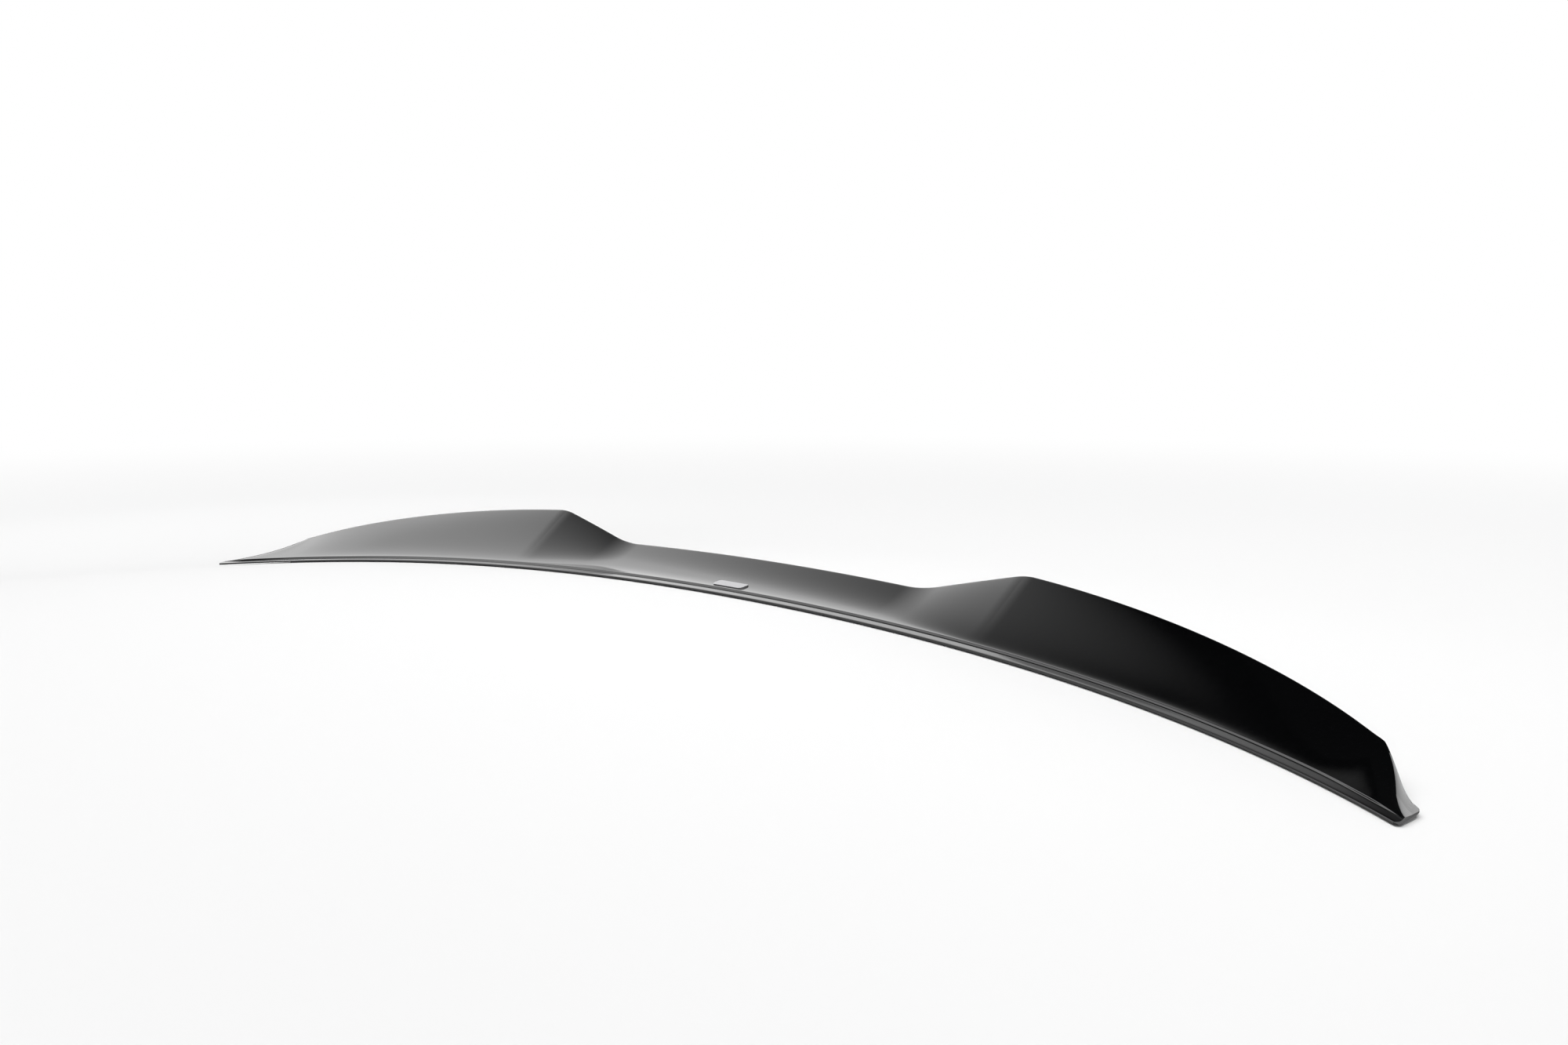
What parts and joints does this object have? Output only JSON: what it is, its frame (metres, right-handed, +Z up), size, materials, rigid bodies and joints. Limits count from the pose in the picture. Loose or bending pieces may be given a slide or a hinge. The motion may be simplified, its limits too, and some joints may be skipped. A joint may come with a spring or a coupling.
{
  "type": "car rear spoiler",
  "caption": "Low stick-on rear spoiler for a car boot lid: a thin glossy moulding with raised horns, a dipped middle, a stepped front flange and thin tails, bedded on foam tape.",
  "frame": {"origin": "on the boot lid's surface in the spoiler's mid-plane, under the middle line of the front tape", "axes": "+X across the car along the spoiler's length, +Y towards the rear of the car, +Z up"},
  "size_m": [1.238, 0.13, 0.0713],
  "materials": {
    "gloss_black": "high-gloss black moulded plastic",
    "foam_tape": "matt dark grey acrylic foam",
    "badge_metal": "satin, bare"
  },
  "bodies": {
    "root": {"spoiler_shell": "gloss_black", "front_tape_left": "foam_tape", "front_tape_right": "foam_tape", "rear_tape_left": "foam_tape", "rear_tape_right": "foam_tape", "badge_plate": "badge_metal"}
  },
  "joints": []
}
